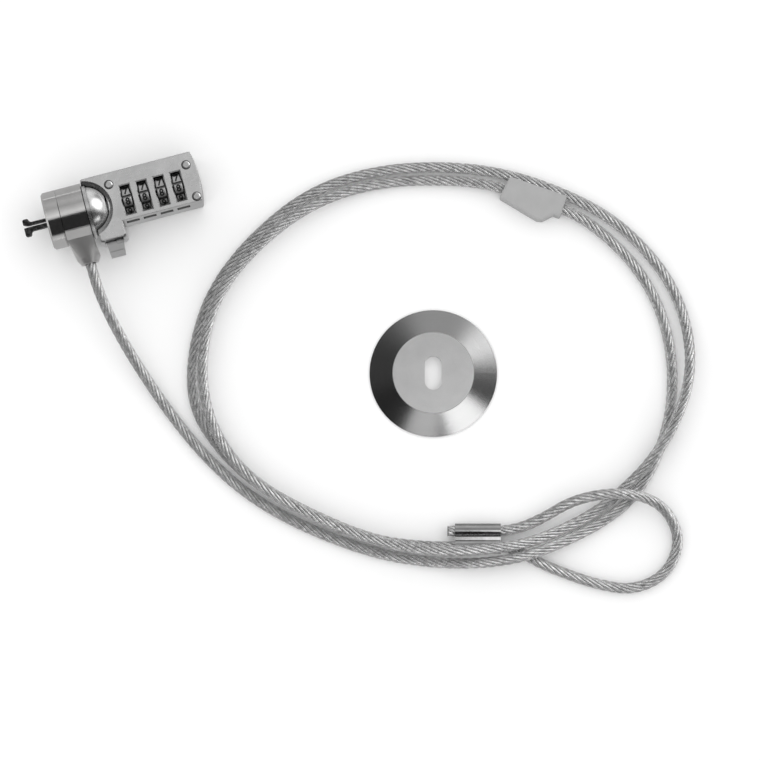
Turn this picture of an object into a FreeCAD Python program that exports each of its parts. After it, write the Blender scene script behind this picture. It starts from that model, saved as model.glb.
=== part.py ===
import FreeCAD, Part
import math
import os
import Sketcher

# Laptop cable lock: a four-dial lock head, a steel cable with a crimped eye, a clip and a guard disc.
# The origin is the middle of the nose face. +X runs along the lock's axis to its far end, +Z is up,
# and everything lies on a table at z = -table_drop. All sizes are in millimetres.

sizes = {
    # the round nose, the swivel and the neck that joins them
    "table_drop": 10.5,
    "nose_radius": 10.5,
    "nose_end": 5.3,
    "nose_wall": 2.0,
    "nose_bevel": 0.7,
    "claw_slot_wide": 7.0,
    "claw_slot_high": 3.0,
    "collar_start": 5.5,
    "collar_end": 14.7,
    "collar_bore": 6.1,
    "neck_radius": 6.0,
    "neck_end": 22.0,
    "neck_bore_front": 4.3,
    "neck_bore_rear": 3.6,
    "neck_wall_start": 11.6,
    "neck_wall_end": 12.4,
    "stem_hole": 1.7,
    "flange_start": 15.0,
    "flange_end": 16.2,
    "flange_radius": 10.2,
    "dome_radius": 9.8,
    "dome_centre": 14.5,
    "washer_start": 14.75,
    "washer_end": 14.95,
    "washer_radius": 9.4,
    # the saddle on the collar, which the cable comes out of
    "saddle_top": -6.0,
    "saddle_root": -9.6,
    "saddle_half": 8.3,
    "saddle_mouth": -18.6,
    "saddle_waist": -16.6,
    "saddle_tip_radius": 4.3,
    "saddle_lip_radius": 3.2,
    "cable_x": 11.2,
    "cable_start": -10.4,
    "cable_radius": 2.0,
    "cable_hole": 2.25,
    "stop_radius": 2.9,
    "stop_bevel": 0.5,
    "stop_pocket": 3.05,
    "stop_end": -6.5,
    # the lock's body
    "body_start": 15.1,
    "body_end": 57.0,
    "body_near": -7.4,
    "body_far": 11.0,
    "body_seam": 4.5,
    "body_top": 6.0,
    "end_bow": 35.0,
    "pocket_centre": 14.0,
    "pocket_radius": 10.4,
    "pocket_lip": 8.3,
    "pocket_lip_deep": 1.0,
    "seat_radius": 10.0,
    "seat_step": 16.4,
    "shoulder_start": 17.0,
    "shoulder_end": 26.4,
    "shoulder_near": -12.6,
    "lug_near": -13.4,
    "lug_width": 1.2,
    "corner_round": 0.8,
    "edge_bevel": 0.35,
    # the chambers inside it
    "cam_start": 22.1,
    "cam_end": 25.5,
    "cam_far": 4.3,
    "cam_half": 1.8,
    "cam_floor": -5.8,
    "dials_start": 27.3,
    "dials_end": 51.9,
    "dials_near": -6.6,
    "dials_far": 8.9,
    "dials_floor": -9.6,
    "side_slot_long": 4.7,
    "side_slot_high": 5.0,
    # dials, code rings and what holds them
    "first_dial": 30.0,
    "dial_pitch": 6.26,
    "dial_radius": 6.3,
    "dial_half": 1.5,
    "dial_bore": 4.45,
    "dial_bevel": 0.25,
    "dial_turn": 28.0,
    "groove_depth": 0.75,
    "groove_half": 0.62,
    "groove_over": 0.5,
    "ring_radius": 4.4,
    "ring_bore": 2.5,
    "ring_tail": 3.0,
    "gate_depth": 1.0,
    "gate_half": 1.0,
    "gate_inset": 0.2,
    "washer_gap": 0.12,
    "dial_washer": 1.5,
    "dial_washer_radius": 4.0,
    "shaft_radius": 2.4,
    "shaft_start": 26.5,
    "shaft_end": 54.5,
    "window_long": 10.6,
    "window_wide": 3.5,
    "window_middle": -0.2,
    "window_bevel": 0.45,
    "bar_top": -7.0,
    "bar_thick": 1.2,
    "bar_half": 2.0,
    "bar_start_gap": 0.6,
    "bar_end_gap": 0.4,
    "tooth_root": 0.5,
    "tooth_top": -4.75,
    "tooth_half": 0.6,
    "tooth_inset": 0.4,
    "tooth_long": 1.0,
    "leaf_start": 28.2,
    "leaf_near": 8.2,
    "leaf_thick": 0.35,
    "leaf_half": 2.6,
    "leaf_end_gap": 0.5,
    "finger_long": 1.6,
    "finger_root": 1.0,
    "finger_tip": 0.35,
    "finger_near": 6.75,
    # rivets
    "rivet_head": 1.45,
    "rivet_seat": 1.7,
    "rivet_seat_depth": 1.0,
    "rivet_shank": 0.9,
    "rivet_foot": -9.0,
    "rivet_crown": 0.2,
    "rivet_bevel": 0.45,
    # the button, its spring and the spreader that it drives
    "tab_start": 18.7,
    "tab_end": 24.9,
    "tab_near": -18.6,
    "tab_half": 1.4,
    "tab_inner": -13.1,
    "tab_gap": 0.2,
    "tab_draft": 0.5,
    "tab_root": 1.0,
    "tab_room": -9.8,
    "lip_thick": 1.5,
    "lip_top": 3.6,
    "tongue_start": 22.4,
    "tongue_end": 25.2,
    "tongue_half": 1.5,
    "cam_offset": 24.6,
    "cam_gap": 0.4,
    "leg_near": -6.0,
    "leg_far": -5.0,
    "leg_foot": -5.5,
    "button_spring_radius": 1.1,
    "button_spring_wire": 0.2,
    "button_spring_turns": 6.0,
    "button_spring_gap": 0.1,
    "spreader_tip": 5.2,
    "tip_half": 0.25,
    "shank_half": 0.55,
    "shank_start": 8.2,
    "blade_half": 1.0,
    "plate_start": 18.0,
    "plate_end": 19.2,
    "plate_radius": 3.2,
    "plate_bite": 0.5,
    "tail_half": 1.8,
    "claw_spring_radius": 2.6,
    "claw_spring_wire": 0.25,
    "claw_spring_turns": 5.0,
    "claw_spring_gap": 0.05,
    # the claws and their pins
    "claw_half": 1.2,
    "claw_tip": -8.7,
    "claw_step": 5.0,
    "claw_gap": 0.3,
    "claw_tip_gap": 1.0,
    "claw_relief": 0.8,
    "claw_heel": 11.2,
    "lead_middle": 0.7,
    "lead_end": 1.7,
    "upper_arm": 1.35,
    "lower_arm": 1.9,
    "upper_hook": 2.8,
    "lower_hook": 3.5,
    "hook_root": 3.0,
    "hook_width": 2.2,
    "hook_fillet": 0.2,
    "hook_bevel": 0.4,
    "heel_inner": 1.05,
    "heel_bevel": 1.4,
    "boss_outer": 1.25,
    "boss_side": 1.1,
    "boss_back": 0.9,
    "pin_x": 10.0,
    "pin_y": 2.3,
    "pin_radius": 0.6,
    "pin_hole": 0.7,
    "pin_half": 5.4,
    "retainer_start": 2.2,
    "retainer_end": 3.0,
    # the ferrule that closes the cable's eye
    "ferrule_x": 120.85,
    "ferrule_y": -149.3,
    "ferrule_turn": -14.7,
    "ferrule_long": 16.4,
    "ferrule_radius": 2.75,
    "barrel_gap": 5.5,
    "ferrule_web": 1.7,
    "ferrule_lift": 2.8,
    # the clip that keeps two turns of the cable side by side
    "clip_x": 172.5,
    "clip_y": -35.4,
    "clip_turn": -34.1,
    "clip_lift": 0.1,
    "clip_high": 6.9,
    "clip_bore": 2.6,
    "clip_bore_lift": 3.3,
    "clip_groove": 2.6,
    "clip_groove_y": 5.3,
    "clip_groove_lift": 1.9,
    "clip_round": 0.7,
    "clip_bevel": 0.6,
    # the guard disc
    "disc_x": 120.7,
    "disc_y": -87.3,
    "disc_turn": -14.7,
    "disc_radius": 23.0,
    "disc_plateau": 14.75,
    "disc_thick": 3.0,
    "disc_rim": 0.6,
    "disc_edge": 0.3,
    "slot_long": 12.3,
    "slot_wide": 6.2,
    # how far a cutter reaches past what it cuts
    "past": 1.0,
    "far_past": 30.0,
    "overlap": 0.01,
}
dial_count = 4
face_count = 10
rivet_places = (("24.8", "6.6"), ("53.4", "6.5"), ("54.3", "-5.5"))
clip_corners = (
    ("-11.1", "4.2"),
    ("-12.3", "-4.2"),
    ("3.2", "-7.4"),
    ("5", "-7"),
    ("8.2", "-3.7"),
    ("10.8", "-3.7"),
    ("10.6", "4.3"),
)

# The cable's route: x, y and the height of its middle above the table. It leaves the saddle, makes two
# turns, goes through the ferrule, round the eye and back into the ferrule's other barrel.
cable_route = [
    (11.2, -10.4, 10.5), (11.25, -18.6, 10.5), (11.5, -29.0, 10.2), (13.8, -42.0, 7.4),
    (18.4, -58.5, 4.0), (25.4, -78.0, 2.0), (34.2, -97.2, 2.0), (46.5, -115.2, 2.0),
    (63.0, -130.6, 2.0), (84.0, -145.3, 2.0), (103.5, -153.8, 2.4), (119.0, -158.2, 6.4),
    (131.0, -159.8, 6.6), (142.5, -159.5, 6.3), (154.0, -157.6, 3.4), (166.0, -154.8, 2.0),
    (178.0, -149.8, 2.0), (189.3, -139.4, 2.0), (199.3, -124.6, 2.0), (205.2, -106.5, 2.0),
    (206.4, -87.0, 2.0), (202.0, -69.0, 2.0), (193.5, -54.2, 2.5), (184.0, -43.2, 3.4),
    (161.0, -27.6, 3.4), (145.0, -20.9, 2.3), (121.0, -15.2, 2.0), (97.0, -16.0, 4.4),
    (74.5, -24.4, 6.3), (53.2, -38.8, 6.3), (42.0, -58.0, 6.3), (37.8, -78.5, 6.3),
    (41.3, -97.2, 6.3), (50.5, -112.2, 6.3), (65.3, -126.4, 6.3), (85.0, -141.2, 6.3),
    (103.5, -149.8, 8.0), (120.5, -153.8, 8.0), (136.0, -155.8, 7.2), (150.0, -154.1, 3.6),
    (163.5, -151.1, 2.0), (175.5, -145.8, 2.9), (187.6, -138.8, 6.6), (200.2, -127.4, 6.5),
    (210.0, -112.3, 6.3), (213.8, -95.0, 2.8), (212.3, -78.0, 2.0), (206.4, -63.2, 2.0),
    (197.3, -49.0, 2.0), (184.0, -36.6, 2.0), (166.0, -24.3, 2.0), (146.0, -16.0, 2.0),
    (121.0, -10.6, 2.0), (96.0, -11.6, 2.0), (72.6, -21.4, 2.0), (51.8, -36.6, 2.0),
    (39.6, -55.3, 2.0), (33.6, -75.0, 2.0), (37.8, -91.8, 2.0), (48.0, -109.2, 2.0),
    (64.5, -125.1, 2.0), (84.0, -140.0, 2.0), (100.5, -146.8, 2.6), (112.2, -149.9, 2.8),
    (132.0, -155.1, 2.8), (139.5, -162.9, 2.0), (148.5, -169.7, 2.0), (158.5, -176.2, 2.0),
    (170.3, -181.4, 2.0), (183.4, -178.8, 2.0), (191.2, -168.3, 2.0), (189.3, -156.5, 3.6),
    (181.5, -149.2, 7.2), (169.5, -145.4, 7.3), (156.5, -144.8, 5.4), (144.5, -148.4, 3.4),
    (133.2, -149.65, 2.8), (120.4, -146.3, 2.8), (111.0, -143.8, 2.8),
]
RISE = 0.45  # the share of a run that each of its two arcs takes

doc = FreeCAD.newDocument("laptop_cable_lock")
sheet = doc.addObject("Spreadsheet::Sheet", "dims")
for row, (word, value) in enumerate(sizes.items(), start=1):
    sheet.set(f"A{row}", word)
    sheet.set(f"B{row}", str(value))
    sheet.setAlias(f"B{row}", word)
doc.recompute()

parts = []
UP, ALONG, ACROSS = "Z", "X", "Y"
TURNS = {
    UP: FreeCAD.Rotation(),
    ALONG: FreeCAD.Rotation(FreeCAD.Vector(0, 1, 0), 90),
    ACROSS: FreeCAD.Rotation(FreeCAD.Vector(1, 0, 0), -90),
}


def bind(item, **formulas):
    """Tie properties of an object to formulas on the sheet."""
    for name, formula in formulas.items():
        item.setExpression(name, with_sheet(formula))


def with_sheet(formula):
    """A formula that names sizes plainly, with the sheet's name put before each."""
    words = []
    word = ""
    for letter in str(formula) + " ":
        if letter.isalpha() or letter == "_":
            word += letter
        else:
            words.append(("dims." + word if word in sizes else word) + letter)
            word = ""
    return "".join(words).strip()


def put(item, x="0", y="0", z="0"):
    """Place an object's base point by formulas."""
    for axis, formula in (("x", x), ("y", y), ("z", z)):
        item.setExpression("Placement.Base." + axis, with_sheet(formula))


def block(name, x, y, z):
    """A box between a low and a high formula on each axis."""
    item = doc.addObject("Part::Box", name)
    for prop, (low, high) in (("Length", x), ("Width", y), ("Height", z)):
        item.setExpression(prop, with_sheet(f"({high}) - ({low})"))
    put(item, x[0], y[0], z[0])
    return item


def rod(name, radius, low, high, axis=ALONG, x="0", y="0", z="0"):
    """A cylinder along one axis, from low to high on it."""
    item = doc.addObject("Part::Cylinder", name)
    item.Placement = FreeCAD.Placement(FreeCAD.Vector(), TURNS[axis])
    bind(item, Radius=radius, Height=f"({high}) - ({low})")
    base = {"x": x, "y": y, "z": z}
    base[axis.lower()] = low
    put(item, **base)
    return item


def taper(name, first, second, low, high, axis=ALONG, x="0", y="0", z="0"):
    """A cone frustum along one axis, of radius first at low and second at high."""
    item = doc.addObject("Part::Cone", name)
    item.Placement = FreeCAD.Placement(FreeCAD.Vector(), TURNS[axis])
    bind(item, Radius1=first, Radius2=second, Height=f"({high}) - ({low})")
    base = {"x": x, "y": y, "z": z}
    base[axis.lower()] = low
    put(item, **base)
    return item


def ball(name, radius, x):
    item = doc.addObject("Part::Sphere", name)
    bind(item, Radius=radius)
    put(item, x=x)
    return item


def fuse(name, *pieces):
    item = doc.addObject("Part::MultiFuse", name)
    item.Shapes = list(pieces)
    return item


def cut(name, base, *tools):
    item = doc.addObject("Part::Cut", name)
    item.Base = base
    item.Tool = tools[0] if len(tools) == 1 else fuse(name + "_tools", *tools)
    return item


def common(name, *pieces):
    item = doc.addObject("Part::MultiCommon", name)
    item.Shapes = list(pieces)
    return item


def outline(body, name, role, points):
    """A closed sketch of straight sides on one of the body's own planes, its corners given by formulas."""
    sketch = body.newObject("Sketcher::SketchObject", name)
    plane = next(item for item in body.Origin.OriginFeatures if item.Role == role)
    sketch.AttachmentSupport = [(plane, "")]
    sketch.MapMode = "FlatFace"
    count = len(points)
    turn = 2 * math.pi / count
    # a ring of corners to start from; the constraints move each one to its place
    ring = [FreeCAD.Vector(math.cos(turn * i), math.sin(turn * i), 0) for i in range(count)]
    for i in range(count):
        sketch.addGeometry(Part.LineSegment(ring[i], ring[(i + 1) % count]), False)
    for i in range(count):
        sketch.addConstraint(Sketcher.Constraint("Coincident", i, 2, (i + 1) % count, 1))
    for i, (x, y) in enumerate(points):
        for kind, formula, start in (("DistanceX", x, ring[i].x), ("DistanceY", y, ring[i].y)):
            index = sketch.addConstraint(Sketcher.Constraint(kind, i, 1, start))
            sketch.setExpression(f"Constraints[{index}]", with_sheet(formula))
    return sketch


def prism(name, points, length, middle=True):
    """A level body of one outline, by half of length to each side of the middle plane or all upwards."""
    body = doc.addObject("PartDesign::Body", name)
    sketch = outline(body, name + "_outline", "XY_Plane", points)
    item = body.newObject("PartDesign::Pad", name + "_pad")
    item.Profile = sketch
    item.Midplane = middle
    bind(item, Length=length)
    return body


def part(name, item):
    """Give a finished sub-part its name and keep it for the checks and the export."""
    item.Label = name
    parts.append(item)
    return item


def spring(name, radius, wire, turns, low, high, axis, x="0", y="0", z="0"):
    """A coil spring between low and high, its wire swept round a helix."""
    helix = doc.addObject("Part::Helix", name + "_helix")
    bind(helix, Radius=radius, Height=f"({high}) - ({low}) - 2 * {wire}")
    bind(helix, Pitch=f"(({high}) - ({low}) - 2 * {wire}) / {turns}")
    ring = doc.addObject("Part::Circle", name + "_wire")
    ring.Placement = FreeCAD.Placement(FreeCAD.Vector(), FreeCAD.Rotation(FreeCAD.Vector(1, 0, 0), 90))
    bind(ring, Radius=wire)
    put(ring, x=radius)
    item = doc.addObject("Part::Sweep", name)
    item.Sections = [ring]
    item.Spine = (helix, [])
    item.Solid = True
    item.Frenet = True
    item.Placement = FreeCAD.Placement(FreeCAD.Vector(), TURNS[axis])
    base = {"x": x, "y": y, "z": z}
    base[axis.lower()] = f"({low}) + {wire}"
    put(item, **base)
    return part(name, item)


# The nose and the neck


def nose_cap():
    skirt = fuse(
        "nose_solid",
        taper("nose_front", "nose_radius - nose_bevel", "nose_radius", "0", "nose_bevel"),
        rod("nose_skirt", "nose_radius", "nose_bevel", "nose_end"),
    )
    half_wide, half_high = "claw_slot_wide / 2", "claw_slot_high / 2"
    slot = block(
        "nose_slot", ("-1", "nose_wall + 1"), (f"-{half_wide}", half_wide), (f"-{half_high}", half_high)
    )
    part("nose_cap", cut("nose_cap_cut", skirt, rod("nose_bore", "neck_radius", "nose_wall", "6"), slot))


def neck_tube():
    tube = rod("neck_solid", "neck_radius", "nose_wall", "neck_end")
    hollows = [
        rod("neck_front", "neck_bore_front", "1", "neck_wall_start"),
        rod("neck_rear", "neck_bore_rear", "neck_wall_end", "neck_end + 1"),
        rod("neck_hole", "stem_hole", "neck_wall_start - 1", "neck_wall_end + 1"),
    ]
    for side, sign in (("upper", ""), ("lower", "-")):
        hollows.append(
            rod("neck_pin_" + side, "pin_radius", "-7", "7", UP, x="pin_x", y=f"{sign}pin_y")
        )
    part("neck_tube", cut("neck_tube_cut", tube, *hollows))


def retaining_ring():
    ring = rod("retainer_solid", "neck_bore_front", "retainer_start", "retainer_end")
    half_wide, half_high = "claw_slot_wide / 2", "claw_slot_high / 2"
    slot = block("retainer_slot", ("1", "4"), (f"-{half_wide}", half_wide), (f"-{half_high}", half_high))
    part("retaining_ring", cut("retaining_ring_cut", ring, slot))


def swivel_collar():
    collar = fuse(
        "collar_solid",
        rod("collar_band", "nose_radius", "collar_start", "collar_end"),
        saddle(),
    )
    part(
        "swivel_collar",
        cut(
            "swivel_collar_cut",
            collar,
            rod("collar_hollow", "collar_bore", "collar_start - 1", "collar_end + 1"),
            rod("cable_way", "cable_hole", "saddle_mouth - 1", "0", ACROSS, x="cable_x"),
            rod("stop_way", "stop_pocket", "cable_start", "0", ACROSS, x="cable_x"),
        ),
    )


def saddle():
    """The faceted block that runs from the collar's width down to the round cable mouth."""
    half, middle = sizes["saddle_half"], sizes["cable_x"]
    low, high = sizes["collar_start"] - middle, sizes["collar_end"] - middle
    root, top = sizes["saddle_root"], sizes["saddle_top"]
    waist, mouth = sizes["saddle_waist"], sizes["saddle_mouth"]
    base = Part.makeBox(high - low, top - root, 2 * half, FreeCAD.Vector(middle + low, root, -half))
    corners = [(high, half), (high, -half), (low, -half), (low, half), (high, half)]
    square = Part.makePolygon([FreeCAD.Vector(middle + x, root, z) for x, z in corners])
    flare = Part.makeLoft([square, four_arcs(middle, waist, sizes["saddle_tip_radius"])], True, True)
    rings = [four_arcs(middle, waist, sizes["saddle_tip_radius"])]
    rings.append(four_arcs(middle, mouth, sizes["saddle_lip_radius"]))
    lip = Part.makeLoft(rings, True, True)
    item = doc.addObject("Part::Feature", "saddle")
    item.Shape = base.fuse([flare, lip]).removeSplitter()
    item.Placement = FreeCAD.Placement()
    return item


def four_arcs(x, y, radius):
    """A circle across the Y axis in four arcs, which start and end where a square's corners point."""

    def at(angle):
        turn = math.radians(angle)
        return FreeCAD.Vector(x + radius * math.cos(turn), y, radius * math.sin(turn))

    arcs = [Part.Arc(at(45 - a), at(-a), at(-45 - a)).toShape() for a in (0, 90, 180, 270)]
    return Part.Wire(arcs)


def swivel_washer():
    ring = rod("washer_solid", "washer_radius", "washer_start", "washer_end")
    part("swivel_washer", cut("washer_cut", ring, rod("washer_bore", "neck_radius", "10", "20")))


def dome_flange():
    dome = common(
        "dome_solid",
        ball("dome_ball", "dome_radius", "dome_centre"),
        rod("dome_room", "flange_radius", "flange_start", "neck_end"),
    )
    flange = rod("flange_disc", "flange_radius", "flange_start", "flange_end")
    bore = rod("dome_bore", "neck_radius", "flange_start - 1", "neck_end + 1")
    part("dome_flange", cut("dome_flange_cut", fuse("dome_and_flange", dome, flange), bore))


# The lock's body


def body_block(name, bottom, top):
    """The body's plan between two levels: a bar with a bowed far end and the button's shoulder."""
    bar = block(name + "_bar", ("body_start", "body_end"), ("body_near", "body_far"), (bottom, top))
    bow_x = "body_end - end_bow"
    bow_y = "(body_near + body_far) / 2"
    bow = rod(name + "_bow", "end_bow", f"{bottom} - 1", f"{top} + 1", UP, x=bow_x, y=bow_y)
    shoulder = block(
        name + "_shoulder",
        ("shoulder_start", "shoulder_end"),
        ("shoulder_near", "body_near + 1"),
        (bottom, top),
    )
    return fuse(name, common(name + "_ended", bar, bow), shoulder)


def rounded(name, base, picks, radius):
    """Round the edges of base whose middle points satisfy picks."""
    doc.recompute()
    item = doc.addObject("Part::Fillet", name)
    item.Base = base
    item.Edges = [(i, radius, radius) for i, edge in enumerate(base.Shape.Edges, start=1) if picks(edge)]
    return item


def bevelled(name, base, picks, width):
    """Chamfer the edges of base whose middle points satisfy picks."""
    doc.recompute()
    item = doc.addObject("Part::Chamfer", name)
    item.Base = base
    item.Edges = [(i, width, width) for i, edge in enumerate(base.Shape.Edges, start=1) if picks(edge)]
    return item


def upright_corner(edge):
    """Is this one of the body's upright outer corners, apart from the shoulder's inner one?"""
    box = edge.BoundBox
    inner = abs(box.YMin - sizes["body_near"]) < 0.01 and box.XMin < sizes["shoulder_end"] + 0.01
    return box.ZLength > 1 and box.XLength < 0.01 and box.YLength < 0.01 and not inner


def level_edge(level):
    """A test for the edges that lie flat at one level."""
    return lambda edge: edge.BoundBox.ZLength < 0.01 and abs(edge.BoundBox.ZMin - level) < 0.01


def pocket_tools(name):
    """What is cut from the body round the domed flange."""
    low = "body_top - pocket_lip_deep"
    return [
        rod(name + "_pocket", "pocket_radius", "0", "seat_step"),
        taper(name + "_lip", "pocket_lip", "pocket_radius", low, "body_top + overlap", UP, x="pocket_centre"),
        ball(name + "_seat", "seat_radius", "dome_centre"),
        block(name + "_step", ("0", "seat_step"), ("-far_past", "far_past"), ("-far_past", "overlap")),
    ]


def housing():
    raw = body_block("housing_block", "-table_drop", "body_seam")
    soft = rounded("housing_soft", raw, upright_corner, sizes["corner_round"])
    base = bevelled("housing_base", soft, level_edge(-sizes["table_drop"]), sizes["edge_bevel"])
    tools = pocket_tools("housing")
    tools += [
        rod("housing_neck", "neck_radius", "10", "neck_end"),
        block("cam_way", ("cam_start", "cam_end"), ("-12", "cam_far"), ("-cam_half", "cam_half")),
        block("spring_way", ("cam_start", "cam_end"), ("leg_near - 1", "cam_far"), ("cam_floor", "0")),
        block("tab_way", ("tab_start - tab_gap", "cam_end"), ("-20", "tab_room"), ("-cam_half", "cam_half")),
        block(
            "dial_room",
            ("dials_start", "dials_end"),
            ("dials_near", "dials_far"),
            ("dials_floor", "body_seam + 1"),
        ),
        rod("shaft_seat", "shaft_radius", "shaft_start", "shaft_end"),
    ]
    for n in range(dial_count):
        middle = f"first_dial + {n} * dial_pitch"
        half = "side_slot_long / 2"
        tools.append(
            block(
                f"side_slot_{n + 1}",
                (f"{middle} - {half}", f"{middle} + {half}"),
                ("body_near - 1", "dials_near + 1"),
                ("-side_slot_high / 2", "side_slot_high / 2"),
            )
        )
    for n, (x, y) in enumerate(rivet_places, start=1):
        tools.append(rod(f"rivet_way_{n}", "rivet_shank", "rivet_foot", "body_seam + 1", UP, x=x, y=y))
    tray = cut("housing_tray", base, *tools)
    part("housing", fuse("housing_whole", tray, *lugs()))


def lugs():
    """The two small lugs on the shoulder's edge, one each side of the button."""
    pieces = []
    for side, low in (("near", "shoulder_start"), ("far", "shoulder_end - lug_width")):
        pieces.append(
            block(
                "lug_" + side,
                (low, f"{low} + lug_width"),
                ("lug_near", "shoulder_near + 0.8"),
                ("-3", "body_seam"),
            )
        )
    return pieces


def cover_plate():
    raw = body_block("cover_block", "body_seam", "body_top")
    soft = rounded("cover_soft", raw, upright_corner, sizes["corner_round"])
    base = bevelled("cover_base", soft, level_edge(sizes["body_top"]), sizes["edge_bevel"])
    tools = pocket_tools("cover")
    for n in range(dial_count):
        tools += window(n)
    for n, (x, y) in enumerate(rivet_places, start=1):
        tools.append(rod(f"cover_way_{n}", "rivet_shank", "0", "10", UP, x=x, y=y))
        tools.append(rod(f"cover_seat_{n}", "rivet_seat", "body_top - rivet_seat_depth", "10", UP, x=x, y=y))
    part("cover_plate", cut("cover_plate_cut", base, *tools))


def window(n):
    """One dial's window: a straight opening with a bevelled rim that widens towards the top."""
    middle = f"first_dial + {n} * dial_pitch"
    half_x, half_y, low = "window_wide / 2", "window_long / 2", "body_top - window_bevel"
    opening = block(
        f"window_{n + 1}",
        (f"{middle} - {half_x}", f"{middle} + {half_x}"),
        (f"window_middle - {half_y}", f"window_middle + {half_y}"),
        ("0", "10"),
    )
    rim = doc.addObject("Part::Wedge", f"window_rim_{n + 1}")
    rim.Placement = FreeCAD.Placement(FreeCAD.Vector(), FreeCAD.Rotation(FreeCAD.Vector(1, 0, 0), 90))
    bind(rim, Xmin=f"-{half_x}", Xmax=half_x, Zmin=f"-{half_y}", Zmax=half_y)
    bind(rim, X2min=f"-{half_x} - window_bevel", X2max=f"{half_x} + window_bevel")
    bind(rim, Z2min=f"-{half_y} - window_bevel", Z2max=f"{half_y} + window_bevel")
    bind(rim, Ymin="0", Ymax="window_bevel")
    put(rim, middle, "window_middle", low)
    return [opening, rim]


def cover_rivets():
    pieces = []
    for n, (x, y) in enumerate(rivet_places, start=1):
        shank = rod(f"rivet_shank_{n}", "rivet_shank", "rivet_foot", "body_top - past / 2", UP, x=x, y=y)
        low = "body_top - rivet_seat_depth"
        head = rod(f"rivet_head_{n}", "rivet_head", low, "body_top", UP, x=x, y=y)
        top_radius, top = "rivet_head - rivet_bevel", "body_top + rivet_crown"
        crown_top = taper(f"rivet_crown_{n}", "rivet_head", top_radius, "body_top", top, UP, x=x, y=y)
        pieces.append(fuse(f"rivet_{n}", shank, head, crown_top))
    group = doc.addObject("Part::Compound", "cover_rivets_group")
    group.Links = pieces
    part("cover_rivets", group)


# The dials and what holds them


def dial(n):
    """A thumb wheel with ten grooves between its ten faces."""
    middle = f"first_dial + {n} * dial_pitch"
    body = doc.addObject("PartDesign::Body", f"dial_body_{n + 1}")
    profile = outline(
        body,
        f"dial_profile_{n + 1}",
        "XZ_Plane",
        [
            ("-dial_half", "dial_bore"),
            ("dial_half", "dial_bore"),
            ("dial_half", "dial_radius - dial_bevel"),
            ("dial_half - dial_bevel", "dial_radius"),
            ("-dial_half + dial_bevel", "dial_radius"),
            ("-dial_half", "dial_radius - dial_bevel"),
        ],
    )
    wheel = body.newObject("PartDesign::Revolution", f"dial_wheel_{n + 1}")
    wheel.Profile = profile
    wheel.ReferenceAxis = (profile, ["H_Axis"])
    notch = outline(
        body,
        f"dial_notch_{n + 1}",
        "YZ_Plane",
        [
            ("-groove_half", "dial_radius + groove_over"),
            ("-groove_half / 2", "dial_radius - groove_depth"),
            ("groove_half / 2", "dial_radius - groove_depth"),
            ("groove_half", "dial_radius + groove_over"),
        ],
    )
    groove = body.newObject("PartDesign::Pocket", f"dial_groove_{n + 1}")
    groove.Profile = notch
    groove.Midplane = True
    bind(groove, Length="4 * dial_half")
    pattern = body.newObject("PartDesign::PolarPattern", f"dial_grooves_{n + 1}")
    pattern.Originals = [groove]
    pattern.Axis = (profile, ["H_Axis"])
    pattern.Occurrences = face_count
    body.Tip = pattern
    # two faces show in the window, with the groove between them a little past its middle
    turn = FreeCAD.Rotation(FreeCAD.Vector(1, 0, 0), sizes["dial_turn"])
    body.Placement = FreeCAD.Placement(FreeCAD.Vector(), turn)
    put(body, x=middle)
    part(f"dial_{n + 1}", body)


def code_ring(n):
    """The sleeve inside a dial, with the gate that the locking bar's tooth looks for."""
    middle = f"first_dial + {n} * dial_pitch"
    start, end = f"{middle} - dial_half", f"{middle} + ring_tail"
    gate = block(
        f"gate_{n + 1}",
        (f"{middle} + dial_half + gate_inset", f"{end} + past"),
        ("-gate_half", "gate_half"),
        ("-ring_radius - past", "-ring_radius + gate_depth"),
    )
    sleeve = rod(f"ring_solid_{n + 1}", "ring_radius", start, end)
    bore = rod(f"ring_bore_{n + 1}", "ring_bore", f"{start} - past", f"{end} + past")
    part(f"code_ring_{n + 1}", cut(f"code_ring_cut_{n + 1}", sleeve, bore, gate))


def dial_shaft():
    part("dial_shaft", rod("dial_shaft_rod", "shaft_radius", "shaft_start", "shaft_end"))


def dial_washers():
    """The loose washers between one code ring and the next."""
    pieces = []
    for n in range(1, dial_count):
        start = f"first_dial + {n} * dial_pitch - dial_half - washer_gap - dial_washer"
        ring = rod(f"spacer_solid_{n + 1}", "dial_washer_radius", start, f"{start} + dial_washer")
        bore = rod(f"spacer_bore_{n + 1}", "shaft_radius", f"{start} - past", f"{start} + dial_washer + past")
        pieces.append(cut(f"spacer_{n + 1}", ring, bore))
    group = doc.addObject("Part::Compound", "dial_washers_group")
    group.Links = pieces
    part("dial_washers", group)


def locking_bar():
    """A flat bar under the dials with one tooth for each code ring."""
    pieces = [
        block(
            "bar_strip",
            ("dials_start + bar_start_gap", "dials_end - bar_end_gap"),
            ("-bar_half", "bar_half"),
            ("bar_top - bar_thick", "bar_top"),
        )
    ]
    for n in range(dial_count):
        low = f"first_dial + {n} * dial_pitch + dial_half + tooth_inset"
        pieces.append(
            block(
                f"bar_tooth_{n + 1}",
                (low, f"{low} + tooth_long"),
                ("-tooth_half", "tooth_half"),
                ("bar_top - tooth_root", "tooth_top"),
            )
        )
    part("locking_bar", fuse("locking_bar_solid", *pieces))


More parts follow.
